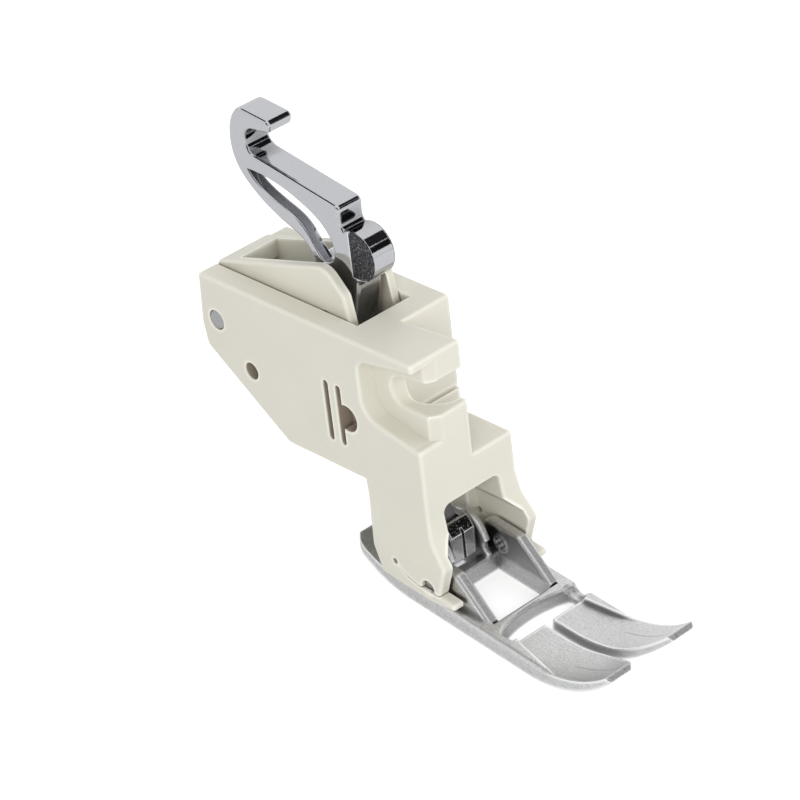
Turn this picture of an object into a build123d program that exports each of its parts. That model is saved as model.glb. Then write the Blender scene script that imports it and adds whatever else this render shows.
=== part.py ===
import os
from math import acos, atan2, cos, hypot, radians, sin

from build123d import *

os.makedirs("parts", exist_ok=True)

# Driving dimensions in millimetres and degrees.
# X points to the operator's right, Y to the rear and Z up. The origin lies on the
# underside of the sole, half way along the whole foot.
lean = 7.0
hinge_height = 4.6
hinge_to_middle = 6.32
shank_height = 31.75
running_clearance = 0.05
seat_gap = 0.1
layer_tolerance = 0.01
edge_shares = (0, 0.5, 1)

# Holder moulding. Its own outline is measured rearward and up from the hinge axis.
body_half_width = 8.2
body_front = -0.8
body_top = 34.3
tail_top_rear = 41.1
tail_rear = 41.7
tail_rear_up = 26.7
tail_low_rear = 41.2
tail_low_up = 23.1
belly_rear = 26.2
belly_up = 12.7
leg_rear = 11.0
edge_round = 0.35
knee_round = 1.2
side_facing = 0.9
corner_round = 1.5

# Legs, with the springy latch leaf moulded along their lower edge.
leg_half_spread = 8.85
flare_top_up = 10.5
flare_low_up = 3.4
leg_heel_rear = 10.25
leg_heel_up = 2.85
leaf_heel_rear = 8.9
tab_front = -4.8
tab_under_up = -1.75
tab_thickness = 0.8
tab_round = 0.3
tab_root_rear = -2.3
tab_root_up = -0.62
knee_front = -3.6
knee_up = 4.0
shin_front = -1.3
shin_up = 7.2
toe_tip_rear = -2.1
toe_tip_up = -0.42
leaf_slot = 0.16
leaf_slot_end_rear = 6.1
leaf_slot_end_up = 1.95
leaf_slot_end_radius = 0.45
leaf_slot_mid_rear = 3.9
leaf_slot_mid_up = 0.45
leaf_slot_low_rear = 1.9
leaf_slot_low_up = -0.14

# Hollow between the legs, the ear recesses and the pocket for the feed lever.
window_half_width = 5.1
window_top_up = 11.35
window_round = 1.2
duct_bend_rear = 8.0
pocket_half_width = 4.7
pocket_front = 12.8
pocket_front_up = 16.2
pocket_floor_start = 20.8
pocket_wall = 1.7
tail_sill_up = 24.8
ear_recess_half_width = 7.1
ear_recess_top_up = 7.5
ear_recess_shoulder_up = 5.2
ear_recess_rear = 6.2

# Screw clamp at the front of the holder and the channel for the presser bar.
clamp_face = 5.3
recess_rear = 9.9
recess_ceiling_up = 33.0
recess_ceiling_drop = 1.7
recess_crown_round = 1.9
recess_sill_up = 21.2
recess_sill_rise = 1.9
recess_corner_round = 3.2
notch_height = 4.4
notch_rear = 6.9
notch_mouth_rise = 0.8
lip_chamfer_across = 1.5
lip_chamfer_along = 1.1
bar_channel_edge = 1.0
bar_channel_rear = 8.8
bar_channel_round = 4.2
bar_channel_floor_up = 16.6
upper_plate_rear_edge = -0.45
upper_plate_front_edge = 0.8
grip_groove_up = 20.2
grip_groove_depth = 0.4
grip_groove_height = 0.7
clamp_round = 0.4
front_round = 0.3
recess_rim_reach = 11.0

# Plain recesses and bores of the left wall.
slot_depth = 2.4
slot_width = 1.0
slot_low_up = 16.8
slot_high_up = 26.1
rear_slot_rear = 16.8
front_slot_rear = 14.4
lobe_rear = 13.2
lobe_up = 21.4
lobe_radius = 2.0
spare_bore_rear = 32.2
spare_bore_up = 21.9
spare_bore_radius = 1.3

# Feed lever, its pivot pin and its return spring.
lever_pin_rear = 38.4
lever_pin_up = 27.8
lever_pin_radius = 1.5
pin_chamfer = 0.2
lever_side_clearance = 0.12
cheek_thickness = 1.4
lever_boss_radius = 2.6
lever_crest_rear = 18.6
lever_crest_up = 41.0
lever_nose_rear = 15.2
lever_nose_up = 37.5
lever_front = 14.1
lever_front_up = 31.5
lever_tail_up = 34.6
lever_tail_rear = 41.2
web_front = 37.4
web_low_up = 31.0
web_slope = 1.6
spring_wire_radius = 0.27
spring_turns = 7
spring_pin_gap = 0.15
coil_overlap = 0.92
spring_floor_leg = 6.2
spring_leg_angle = 46.0

# Hook link and the pin that it swings on in the lever.
link_half_width = 2.2
link_pin_rear = 19.0
link_pin_up = 33.0
link_pin_radius = 1.25
link_hub_radius = 3.2
link_round = 0.5
boss_rear = 15.0
boss_up = 42.5
boss_radius = 3.7
boss_step = 0.3
boss_step_rear = 15.5
boss_step_up = 39.4
hook_root = (23.3, 39.4)
hook_back = [(28.2, 43.3), (33.5, 46.0), (37.2, 50.0), (37.7, 54.6), (36.5, 57.5), (34.4, 58.6)]
hook_beak = [(29.6, 58.15), (29.0, 57.6), (29.4, 56.4), (32.8, 55.95)]
hook_mouth = [(32.8, 55.95), (34.6, 53.9), (32.8, 51.9)]
nub_front = 16.85
nub_up = 49.3
nub_round = 0.9
beak_round = 0.35
boss_groove = [(17.0, 47.2), (16.6, 45.9), (15.2, 45.3)]
stem_front = (14.4, 39.5)
window_low = [(34.7, 49.5), (29.6, 46.3), (24.8, 44.2), (22.4, 41.2), (21.2, 39.9)]
window_end = [(21.2, 39.9), (19.6, 40.5), (18.8, 42.4)]
window_high = [(18.8, 42.4), (20.3, 45.1), (24.7, 47.7), (30.0, 49.2), (34.7, 49.5)]
window_edge_round = 0.35
rail_web = 1.7
web_high = [(18.0, 43.0), (20.0, 46.2), (24.5, 48.5), (30.0, 50.0), (35.5, 50.3)]
web_low_edge = 39.7
washer_gap = 0.06
washer_rivet_gap = 0.15

# Feed arm, its rivet, the feed shoe and its pin.
arm_half_thickness = 1.0
arm_half_width = 1.6
arm_slot_clearance = 0.03
arm_slot_width = 4.3
arm_top_gap = 0.3
arm_bends = [(17.3, 21.0), (14.9, 15.2), (7.2, 7.6)]
arm_bend_radius = 1.7
rivet_offset = 0.6
rivet_spacing = 3.4
rivet_radius = 0.8
rivet_head_radius = 1.3
rivet_head = 0.35
shoe_half_width = 2.3
shoe_front = 1.9
shoe_toe = 2.6
shoe_rear = 6.4
shoe_low_up = -1.2
shoe_high_up = 5.2
shoe_brow_up = 3.5
shoe_top_front = 3.1
shoe_round = 0.4
shoe_slot_front = 3.35
shoe_slot_low_up = 1.2
shoe_groove = 0.45
shoe_pin_rear = 5.0
shoe_pin_up = 3.0
shoe_pin_radius = 0.8
tooth_count = 5
tooth_depth = 0.45

# Sole, measured rearward from the hinge axis and up from its underside.
sole_half_width = 8.1
plate_thickness = 1.78
rail_height = 2.55
rail_width = 2.0
rail_round = 0.7
rail_rear = 10.4
rail_root_share = 0.8
rail_fade_end = -24.5
flat_front = -17.0
toe_front = -32.4
toe_front_up = 7.1
toe_tip_thickness = 0.9
flat_rear = 4.0
heel_rear = 15.6
heel_up = 4.2
heel_thickness = 0.8
heel_round = 2.6
toe_gap = 1.6
toe_spread_start = -24.0
toe_spread = 4.0
toe_round = 0.7
needle_slot_front = -13.8
needle_slot_half_width = 6.6
needle_slot_side_rear = -11.5
needle_slot_arch_rear = -10.4
needle_slot_round = 0.9
thread_bowl_radius = 1.6
thread_bowl_across = 6.3
thread_bowl_rear = -12.5
crossbar_rear = -9.4
crossbar_front_round = 0.5
crossbar_rear_round = 0.4
rear_bar_front = 0.4
rear_bar_rear = 2.0
rear_bar_height = 2.9
rear_bar_round = 0.35
feed_window_rear = 11.2
feed_window_side_clearance = 0.35
guard_thickness = 1.2
guard_front_up = 5.8
guard_front_rear = 0.95
guard_crest = (4.4, 8.9)
guard_back = (7.9, 7.2)
guard_rear = 9.6
guard_round = 0.45
ear_inner = 4.8
ear_thickness = 1.9
ear_top_up = 7.2
ear_rear = 3.4
ear_top_front = -3.2
ear_foot_front = -9.2
ear_round = 1.0
ear_bevel = 0.6
hinge_pin_radius = 1.2
hinge_pin_inset = 0.6
stake_count = 4
stake_circle = 0.5
stake_radius = 0.4
stake_depth = 0.35

# Planes of the leaning holder: seen from the side, from the front and from above.
lean_cos = cos(radians(lean))
lean_sin = sin(radians(lean))
hinge_point = (0, -hinge_to_middle, hinge_height)
sole_point = (0, -hinge_to_middle, 0)
side = Plane(origin=hinge_point, x_dir=(0, lean_cos, -lean_sin), z_dir=(1, 0, 0))
face = Plane(origin=hinge_point, x_dir=(1, 0, 0), z_dir=(0, -lean_cos, lean_sin))
deck = Plane(origin=hinge_point, x_dir=(1, 0, 0), z_dir=(0, lean_sin, lean_cos))
sole_side = Plane(origin=sole_point, x_dir=(0, 1, 0), z_dir=(1, 0, 0))
sole_deck = Plane(origin=sole_point, x_dir=(1, 0, 0), z_dir=(0, 0, 1))

screw_up = shank_height - hinge_height
beyond = 80.0


def up_over_rail(rear):
    """Height in the holder's frame of the line that lies just above the sole's rails."""
    return (rail_height + seat_gap - hinge_height + rear * lean_sin) / lean_cos


def up_of(edge):
    """Height in the holder's frame of the middle of an edge."""
    return side.to_local_coords(edge.center()).Y


def rear_of(edge):
    """Distance behind the hinge, in the holder's frame, of the middle of an edge."""
    return side.to_local_coords(edge.center()).X


def lies_in(edge, axis, place):
    """Whether an edge stays in one flat layer of the holder's frame."""
    points = [side.to_local_coords(edge @ share) for share in edge_shares]
    return all(abs(getattr(point, axis) - place) < layer_tolerance for point in points)


def hub_touch(point, turn):
    """Point of the link's hub where a straight line from the given point touches it."""
    rear = point[0] - link_pin_rear
    up = point[1] - link_pin_up
    angle = atan2(up, rear) + turn * acos(link_hub_radius / hypot(rear, up))
    return (link_pin_rear + link_hub_radius * cos(angle), link_pin_up + link_hub_radius * sin(angle))


def sole_place(edge):
    """Place of the middle of an edge, measured from the sole's own point."""
    return sole_deck.to_local_coords(edge.center())


def soften(points, radius):
    """Round the corners of the open sketch that lie nearest to the given points."""
    corners = [vertices().sort_by_distance((*point, 0))[0] for point in points]
    fillet(corners, radius)


# Holder body: one moulding with the clamp, the pocket, the legs and the latch leaves.
tail_low = (tail_low_rear, tail_low_up)
belly = (belly_rear, belly_up)
knee = (knee_front, knee_up)
shin = (shin_front, shin_up)
brow = (body_front, flare_top_up)
leaf_heel = (leaf_heel_rear, up_over_rail(leaf_heel_rear))
tab_end = [(tab_front, tab_under_up), (tab_front, tab_under_up + tab_thickness)]
body_side = [
    (body_front, body_top),
    (tail_top_rear, body_top),
    (tail_rear, tail_rear_up),
    tail_low,
    belly,
    (leg_rear, belly_up),
    (leg_heel_rear, leg_heel_up),
    leaf_heel,
    (0, up_over_rail(0)),
    *tab_end,
    (tab_root_rear, tab_root_up),
    (toe_tip_rear, toe_tip_up),
    knee,
    shin,
    brow,
]
body_across = [
    (-body_half_width, body_top + edge_round),
    (-body_half_width, flare_top_up),
    (-leg_half_spread, flare_low_up),
    (-leg_half_spread, -hinge_height),
    (leg_half_spread, -hinge_height),
    (leg_half_spread, flare_low_up),
    (body_half_width, flare_top_up),
    (body_half_width, body_top + edge_round),
]
duct = [
    (duct_bend_rear, window_top_up - window_round),
    (duct_bend_rear, window_top_up),
    (pocket_front, pocket_front_up),
    (pocket_front, beyond),
    (beyond, beyond),
    (beyond, tail_sill_up),
    (tail_low_rear - pocket_wall, tail_sill_up),
    (belly_rear, belly_up + pocket_wall),
    (pocket_floor_start, belly_up + pocket_wall),
    (pocket_floor_start, window_top_up - window_round),
]
ear_recess = [
    (0, ear_recess_top_up),
    (window_half_width, ear_recess_top_up),
    (ear_recess_half_width, ear_recess_shoulder_up),
    (ear_recess_half_width, -hinge_height),
    (0, -hinge_height),
]
notch_low = screw_up - notch_height / 2
notch_high = screw_up + notch_height / 2
lip_rear = body_front + lip_chamfer_along
recess_corner = (recess_rear, recess_sill_up + recess_sill_rise)
recess_crown = (recess_rear, recess_ceiling_up - recess_ceiling_drop)
screw_recess = [
    (-beyond, recess_sill_up),
    (lip_rear, recess_sill_up),
    recess_corner,
    recess_crown,
    (lip_rear, recess_ceiling_up),
    (-beyond, recess_ceiling_up),
]
notch_middle = notch_rear - notch_height / 2
screw_notch = [
    (-beyond, notch_low),
    (notch_middle, notch_low),
    (notch_middle, notch_high),
    (body_front, notch_high + notch_mouth_rise),
    (-beyond, notch_high + notch_mouth_rise),
]
upper_plate_cut = [
    (upper_plate_rear_edge, bar_channel_rear),
    (beyond, bar_channel_rear),
    (beyond, body_front - edge_round),
    (upper_plate_front_edge, body_front - edge_round),
]
lip_chamfer = [
    (-clamp_face, lip_rear),
    (-clamp_face + lip_chamfer_across, body_front),
    (-clamp_face + lip_chamfer_across, -beyond),
    (-clamp_face, -beyond),
]
leaf_gap = [
    (leaf_slot_end_rear, leaf_slot_end_up),
    (leaf_slot_mid_rear, leaf_slot_mid_up),
    (leaf_slot_low_rear, leaf_slot_low_up),
    (toe_tip_rear - leaf_slot, toe_tip_up),
    (toe_tip_rear - leaf_slot, toe_tip_up - leaf_slot),
    (leaf_slot_low_rear, leaf_slot_low_up - leaf_slot),
    (leaf_slot_mid_rear, leaf_slot_mid_up - leaf_slot),
]
hinge_bore_radius = hinge_pin_radius + running_clearance
hinge_pin_end = leg_half_spread - hinge_pin_inset
slot_middle_up = (slot_low_up + slot_high_up) / 2

with BuildPart() as holder_body:
    with BuildSketch(side):
        Polygon(*body_side)
        soften([tail_low, belly], corner_round)
        soften([leaf_heel], corner_round / 2)
        soften([knee], knee_round)
        soften(tab_end, tab_round)
        soften([shin, brow], corner_round * 2)
    extrude(amount=leg_half_spread, both=True)
    with BuildSketch(face.offset(-beyond)):
        Polygon(*body_across)
    extrude(amount=2 * beyond, mode=Mode.INTERSECT)
    rims = faces().filter_by(lambda wall: abs(wall.normal_at().X) > side_facing).edges()
    rims = rims.filter_by(lambda rim: abs(up_of(rim) - flare_top_up) > seat_gap)
    fillet(rims.filter_by(lambda rim: abs(up_of(rim) - flare_low_up) > seat_gap), edge_round)
    with BuildSketch(face.offset(beyond)):
        with Locations((0, window_top_up)):
            Rectangle(2 * window_half_width, beyond, align=(Align.CENTER, Align.MAX))
        soften([(-window_half_width, window_top_up), (window_half_width, window_top_up)], window_round)
    extrude(amount=-beyond - pocket_floor_start, mode=Mode.SUBTRACT)
    with BuildSketch(side):
        Polygon(*duct)
    extrude(amount=pocket_half_width, both=True, mode=Mode.SUBTRACT)
    with BuildSketch(face.offset(beyond)):
        Polygon(*ear_recess)
        mirror(about=Plane.YZ)
    extrude(amount=-beyond - ear_recess_rear, mode=Mode.SUBTRACT)
    with BuildSketch(side.offset(-beyond)):
        Polygon(*screw_recess)
        soften([recess_crown], recess_crown_round)
        soften([recess_corner], recess_corner_round)
    extrude(amount=beyond - clamp_face, mode=Mode.SUBTRACT)
    with BuildSketch(side.offset(-beyond)):
        Polygon(*screw_notch)
        with Locations((notch_middle, screw_up)):
            Circle(notch_height / 2)
    extrude(amount=beyond + bar_channel_edge + corner_round, mode=Mode.SUBTRACT)
    with BuildSketch(face.offset(beyond)):
        with Locations((bar_channel_edge, bar_channel_floor_up)):
            Rectangle(beyond, beyond, align=(Align.MIN, Align.MIN))
    extrude(amount=-beyond - bar_channel_rear, mode=Mode.SUBTRACT)
    with BuildSketch(deck.offset(bar_channel_floor_up)):
        with Locations((bar_channel_edge, bar_channel_rear - bar_channel_round)):
            Circle(bar_channel_round)
    extrude(amount=notch_high - bar_channel_floor_up, mode=Mode.SUBTRACT)
    with BuildSketch(deck.offset(screw_up)):
        Polygon(*upper_plate_cut)
    extrude(amount=beyond, mode=Mode.SUBTRACT)
    with BuildSketch(deck.offset(recess_sill_up)):
        Polygon(*lip_chamfer)
    extrude(amount=recess_ceiling_up - recess_sill_up, mode=Mode.SUBTRACT)
    with BuildSketch(side.offset(bar_channel_edge)):
        with Locations((bar_channel_rear, grip_groove_up)):
            Rectangle(2 * grip_groove_depth, grip_groove_height)
    extrude(amount=beyond, mode=Mode.SUBTRACT)
    recess_rim = edges().filter_by(lambda edge: lies_in(edge, "Z", -body_half_width))
    fillet(recess_rim.filter_by(lambda edge: rear_of(edge) < recess_rim_reach), clamp_round)
    notch_rim = edges().filter_by(lambda edge: lies_in(edge, "Z", -clamp_face))
    notch_rim = notch_rim.filter_by(lambda edge: rear_of(edge) < notch_rear + seat_gap)
    notch_rim = notch_rim.filter_by(lambda edge: abs(up_of(edge) - screw_up) < notch_height)
    fillet(notch_rim.filter_by(lambda edge: up_of(edge) > notch_low - seat_gap), clamp_round)
    front_edges = edges().filter_by(lambda edge: lies_in(edge, "X", body_front))
    top_edges = edges().filter_by(lambda edge: lies_in(edge, "Y", body_top))
    top_edges = top_edges.filter_by(lambda edge: not lies_in(edge, "X", body_front))
    fillet(front_edges + top_edges, front_round)
    with BuildSketch(side.offset(-body_half_width)):
        with Locations((lobe_rear, lobe_up)):
            Circle(lobe_radius)
        with Locations((front_slot_rear, lobe_up)):
            Rectangle(beyond, beyond, align=(Align.MIN, Align.CENTER), mode=Mode.SUBTRACT)
        with Locations((rear_slot_rear, slot_middle_up), (front_slot_rear, slot_middle_up)):
            SlotOverall(slot_high_up - slot_low_up, slot_width, rotation=90)
    extrude(amount=slot_depth, mode=Mode.SUBTRACT)
    with BuildSketch(side):
        with Locations((lever_pin_rear, lever_pin_up)):
            Circle(lever_pin_radius)
    extrude(amount=beyond, both=True, mode=Mode.SUBTRACT)
    with BuildSketch(side.offset(-beyond)):
        with Locations((spare_bore_rear, spare_bore_up)):
            Circle(spare_bore_radius)
    extrude(amount=beyond, mode=Mode.SUBTRACT)
    with BuildSketch(side):
        Circle(hinge_bore_radius)
    extrude(amount=hinge_pin_end + seat_gap, both=True, mode=Mode.SUBTRACT)
    with BuildSketch(side):
        Circle(hinge_bore_radius)
        with Locations((0, leaf_slot_low_up - leaf_slot)):
            Rectangle(beyond, beyond, align=(Align.CENTER, Align.MIN), mode=Mode.INTERSECT)
        Polygon(*leaf_gap)
        with Locations((leaf_slot_end_rear, leaf_slot_end_up)):
            Circle(leaf_slot_end_radius)
    extrude(amount=beyond, both=True, mode=Mode.SUBTRACT)

holder_body.part.label = "holder_body"
export_step(holder_body.part, "parts/holder_body.step")

# Lever pivot pin, pressed through both walls of the holder.
with BuildPart() as lever_pivot_pin:
    with BuildSketch(side):
        with Locations((lever_pin_rear, lever_pin_up)):
            Circle(lever_pin_radius)
    extrude(amount=body_half_width - seat_gap, both=True)
    chamfer(edges().filter_by(GeomType.CIRCLE), pin_chamfer)

lever_pivot_pin.part.label = "lever_pivot_pin"
export_step(lever_pivot_pin.part, "parts/lever_pivot_pin.step")

# Feed lever: two cheeks in the pocket, joined by a web behind the pivot pin.
lever_half_width = pocket_half_width - lever_side_clearance
cheek_inner = lever_half_width - cheek_thickness
crest = (lever_crest_rear, lever_crest_up)
lever_side = [
    (lever_tail_rear, lever_tail_up),
    crest,
    (lever_nose_rear, lever_nose_up),
    (lever_front, lever_front_up),
    (lever_front + corner_round, lever_front_up - corner_round),
    (lever_pin_rear, lever_pin_up - lever_boss_radius),
    (lever_pin_rear + lever_boss_radius, lever_pin_up),
    (lever_tail_rear, web_low_up),
]
lever_hollow = [
    (web_front, beyond),
    (web_front, lever_tail_up - web_slope),
    (web_front + web_slope, web_low_up),
    (beyond, web_low_up),
    (beyond, -beyond),
    (-beyond, -beyond),
    (-beyond, beyond),
]
with BuildPart() as feed_lever:
    with BuildSketch(side):
        Polygon(*lever_side)
        soften([crest], corner_round * 2)
        soften([(lever_nose_rear, lever_nose_up)], corner_round)
        soften([(lever_tail_rear, lever_tail_up)], corner_round / 2)
        with Locations((lever_pin_rear, lever_pin_up)):
            Circle(lever_boss_radius)
    extrude(amount=lever_half_width, both=True)
    fillet(faces().filter_by(lambda wall: abs(wall.normal_at().X) > side_facing).edges(), edge_round)
    with BuildSketch(side):
        Polygon(*lever_hollow)
    extrude(amount=cheek_inner, both=True, mode=Mode.SUBTRACT)
    with BuildSketch(side):
        with Locations((lever_pin_rear, lever_pin_up)):
            Circle(lever_pin_radius + running_clearance)
        with Locations((link_pin_rear, link_pin_up)):
            Circle(link_pin_radius)
    extrude(amount=beyond, both=True, mode=Mode.SUBTRACT)

feed_lever.part.label = "feed_lever"
export_step(feed_lever.part, "parts/feed_lever.step")

# Return spring of the lever: a close coil on the pivot pin with two straight legs.
lever_pin_point = side.from_local_coords((lever_pin_rear, lever_pin_up, 0))
coil_radius = lever_pin_radius + spring_pin_gap + spring_wire_radius
coil_pitch = 2 * spring_wire_radius * coil_overlap
coil_half_length = coil_pitch * (spring_turns - 1) / 2
leg_reach = coil_radius - spring_wire_radius / 4
leg_cos = cos(radians(spring_leg_angle))
leg_sin = sin(radians(spring_leg_angle))
leg_start = (lever_pin_rear + leg_reach * leg_sin, lever_pin_up - leg_reach * leg_cos, -coil_half_length)
floor_leg_plane = Plane(
    origin=side.from_local_coords(leg_start), z_dir=-side.x_dir * leg_cos - side.y_dir * leg_sin
).offset(-spring_wire_radius)
with BuildPart() as lever_spring:
    with BuildSketch(Plane(origin=lever_pin_point, x_dir=(1, 0, 0), z_dir=face.z_dir)):
        with Locations((0, coil_radius)):
            with GridLocations(coil_pitch, 0, spring_turns, 1):
                Circle(spring_wire_radius)
    revolve(axis=Axis(lever_pin_point, (1, 0, 0)))
    with BuildSketch(floor_leg_plane):
        Circle(spring_wire_radius)
    extrude(amount=spring_floor_leg)
    with BuildSketch(deck.offset(lever_pin_up - spring_wire_radius)):
        with Locations((coil_half_length, lever_pin_rear + leg_reach)):
            Circle(spring_wire_radius)
    extrude(amount=web_low_up - lever_pin_up + spring_wire_radius - seat_gap)

lever_spring.part.label = "lever_spring"
export_step(lever_spring.part, "parts/lever_spring.step")

# Hook link: a plated casting with a hook, a narrow curved window and a front boss.
hub_rear = hub_touch(hook_root, -1)
hub_front = hub_touch(stem_front, 1)
back_slope = (hook_root[0] - hub_rear[0], hook_root[1] - hub_rear[1])
top_slope = (hook_beak[0][0] - hook_back[-1][0], hook_beak[0][1] - hook_back[-1][1])
nub = (nub_front, nub_up)
web_outline = [
    (web_high[0][0], web_low_edge),
    *web_high,
    (beyond, web_high[-1][1]),
    (beyond, web_low_edge),
]
rivet_rear = link_pin_rear - rivet_offset
rivet_up = link_pin_up + rivet_spacing
arm_slot_top_up = rivet_up + arm_half_width + arm_top_gap
with BuildPart() as hook_link:
    with BuildSketch(side):
        with BuildLine():
            Line(hub_rear, hook_root)
            Spline(hook_root, *hook_back, tangents=[back_slope, top_slope])
            Polyline(hook_back[-1], *hook_beak)
            ThreePointArc(*hook_mouth)
            Polyline(hook_mouth[-1], nub, boss_groove[0])
            ThreePointArc(*boss_groove)
            Polyline(boss_groove[-1], stem_front, hub_front, hub_rear)
        make_face()
        soften([nub], nub_round)
        soften(hook_beak[:3], beak_round)
        with Locations((boss_rear, boss_up)):
            Circle(boss_radius)
        with Locations((link_pin_rear, link_pin_up)):
            Circle(link_hub_radius)
        soften([stem_front], nub_round)
    extrude(amount=link_half_width, both=True)
    fillet(faces().sort_by(Axis.X)[0].edges() + faces().sort_by(Axis.X)[-1].edges(), link_round)
    with BuildSketch(side):
        with BuildLine():
            Spline(*window_low)
            ThreePointArc(*window_end)
            Spline(*window_high)
        make_face()
    extrude(amount=beyond, both=True, mode=Mode.SUBTRACT)
    fillet(edges(Select.LAST).filter_by(Axis.X, reverse=True), window_edge_round)
    with BuildSketch(side.offset(rail_web - link_half_width)):
        Polygon(*web_outline)
        soften(web_high[1:-1], nub_round)
    extrude(amount=beyond, mode=Mode.SUBTRACT)
    with BuildSketch(side.offset(link_half_width - boss_step), side.offset(-link_half_width)):
        with Locations((boss_step_rear, boss_step_up)):
            Rectangle(beyond, boss_radius * 2, align=(Align.MAX, Align.MIN))
    extrude(amount=boss_step, mode=Mode.SUBTRACT)
    with BuildSketch(side):
        with Locations((link_pin_rear, link_pin_up)):
            Circle(link_pin_radius + running_clearance)
        with Locations((rivet_rear, rivet_up)):
            Circle(rivet_radius)
    extrude(amount=beyond, both=True, mode=Mode.SUBTRACT)
    with BuildSketch(side):
        with Locations(((rivet_rear + link_pin_rear) / 2, arm_slot_top_up)):
            Rectangle(arm_slot_width, beyond, align=(Align.CENTER, Align.MAX))
    extrude(amount=arm_half_thickness + arm_slot_clearance, both=True, mode=Mode.SUBTRACT)

hook_link.part.label = "hook_link"
export_step(hook_link.part, "parts/hook_link.step")

# Pin of the link, pressed into both cheeks of the lever.
with BuildPart() as link_pivot_pin:
    with BuildSketch(side):
        with Locations((link_pin_rear, link_pin_up)):
            Circle(link_pin_radius)
    extrude(amount=lever_half_width - seat_gap, both=True)
    chamfer(edges().filter_by(GeomType.CIRCLE), pin_chamfer)

link_pivot_pin.part.label = "link_pivot_pin"
export_step(link_pivot_pin.part, "parts/link_pivot_pin.step")

# Washers that keep the link in the middle of the lever.
washer_radius = rivet_spacing - rivet_head_radius - washer_rivet_gap
washer_thickness = cheek_inner - link_half_width - 2 * washer_gap
with BuildPart() as link_washer_left:
    with BuildSketch(side.offset(washer_gap - cheek_inner)):
        with Locations((link_pin_rear, link_pin_up)):
            Circle(washer_radius)
            Circle(link_pin_radius + running_clearance, mode=Mode.SUBTRACT)
    extrude(amount=washer_thickness)

link_washer_left.part.label = "link_washer_left"
export_step(link_washer_left.part, "parts/link_washer_left.step")

with BuildPart() as link_washer_right:
    with BuildSketch(side.offset(link_half_width + washer_gap)):
        with Locations((link_pin_rear, link_pin_up)):
            Circle(washer_radius)
            Circle(link_pin_radius + running_clearance, mode=Mode.SUBTRACT)
    extrude(amount=washer_thickness)

link_washer_right.part.label = "link_washer_right"
export_step(link_washer_right.part, "parts/link_washer_right.step")

# Feed arm: a bent steel strip from the link's hub down to the shoe.
arm_line = [
    (rivet_rear, rivet_up),
    (link_pin_rear, link_pin_up),
    *arm_bends,
    (shoe_pin_rear, shoe_pin_up),
]
with BuildPart() as feed_arm:
    with BuildSketch(side):
        with BuildLine():
            FilletPolyline(*arm_line, radius=arm_bend_radius)
        trace(line_width=2 * arm_half_width)
        with Locations(arm_line[0], arm_line[-1]):
            Circle(arm_half_width)
    extrude(amount=arm_half_thickness, both=True)
    with BuildSketch(side):
        with Locations((rivet_rear, rivet_up)):
            Circle(rivet_radius)
        with Locations((link_pin_rear, link_pin_up)):
            Circle(link_pin_radius + running_clearance)
        with Locations((shoe_pin_rear, shoe_pin_up)):
            Circle(shoe_pin_radius)
    extrude(amount=beyond, both=True, mode=Mode.SUBTRACT)

feed_arm.part.label = "feed_arm"
export_step(feed_arm.part, "parts/feed_arm.step")

# Rivet that fixes the arm in the link's slot.
with BuildPart() as arm_rivet:
    with BuildSketch(side):
        with Locations((rivet_rear, rivet_up)):
            Circle(rivet_radius)
    extrude(amount=link_half_width, both=True)
    with BuildSketch(side.offset(link_half_width), side.offset(-link_half_width - rivet_head)):
        with Locations((rivet_rear, rivet_up)):
            Circle(rivet_head_radius)
    extrude(amount=rivet_head)

arm_rivet.part.label = "arm_rivet"
export_step(arm_rivet.part, "parts/arm_rivet.step")

# Feed shoe: a forked block with toothed underside on the end of the arm.
shoe_slot_width = 2 * (arm_half_thickness + arm_slot_clearance)
tooth_pitch = (shoe_rear - shoe_toe) / tooth_count
shoe_under = []
for tooth in range(tooth_count):
    root = shoe_toe + tooth * tooth_pitch
    under = shoe_low_up + (root - shoe_toe) * lean_sin / lean_cos
    shoe_under += [(root, under), (root + tooth_pitch / 2, under + tooth_depth)]
shoe_heel = (shoe_rear, shoe_low_up + (shoe_rear - shoe_toe) * lean_sin / lean_cos)
shoe_brow = (shoe_front, shoe_brow_up)
shoe_side = [
    *shoe_under,
    shoe_heel,
    (shoe_rear, shoe_high_up),
    (shoe_top_front, shoe_high_up),
    shoe_brow,
    (shoe_front, shoe_low_up + shoe_toe - shoe_front),
]
with BuildPart() as feed_shoe:
    with BuildSketch(side):
        Polygon(*shoe_side)
        soften([shoe_brow, (shoe_top_front, shoe_high_up), (shoe_rear, shoe_high_up)], shoe_round)
    extrude(amount=shoe_half_width, both=True)
    upright = edges().filter_by(Axis(hinge_point, deck.z_dir))
    fillet(upright.group_by(Axis(hinge_point, side.x_dir))[0], shoe_round)
    with BuildSketch(deck.offset(shoe_slot_low_up)):
        with Locations((0, shoe_slot_front)):
            Rectangle(shoe_slot_width, beyond, align=(Align.CENTER, Align.MIN))
    extrude(amount=beyond, mode=Mode.SUBTRACT)
    with BuildSketch(deck.offset(-beyond)):
        with Locations((0, shoe_front)):
            Rectangle(shoe_groove, 2 * shoe_groove, align=(Align.CENTER, Align.CENTER))
    extrude(amount=2 * beyond, mode=Mode.SUBTRACT)
    with BuildSketch(side):
        with Locations((shoe_pin_rear, shoe_pin_up)):
            Circle(shoe_pin_radius)
    extrude(amount=beyond, both=True, mode=Mode.SUBTRACT)

feed_shoe.part.label = "feed_shoe"
export_step(feed_shoe.part, "parts/feed_shoe.step")

# Pin that fixes the shoe on the arm.
with BuildPart() as shoe_pin:
    with BuildSketch(side):
        with Locations((shoe_pin_rear, shoe_pin_up)):
            Circle(shoe_pin_radius)
    extrude(amount=shoe_half_width - seat_gap, both=True)

shoe_pin.part.label = "shoe_pin"
export_step(shoe_pin.part, "parts/shoe_pin.step")

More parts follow.
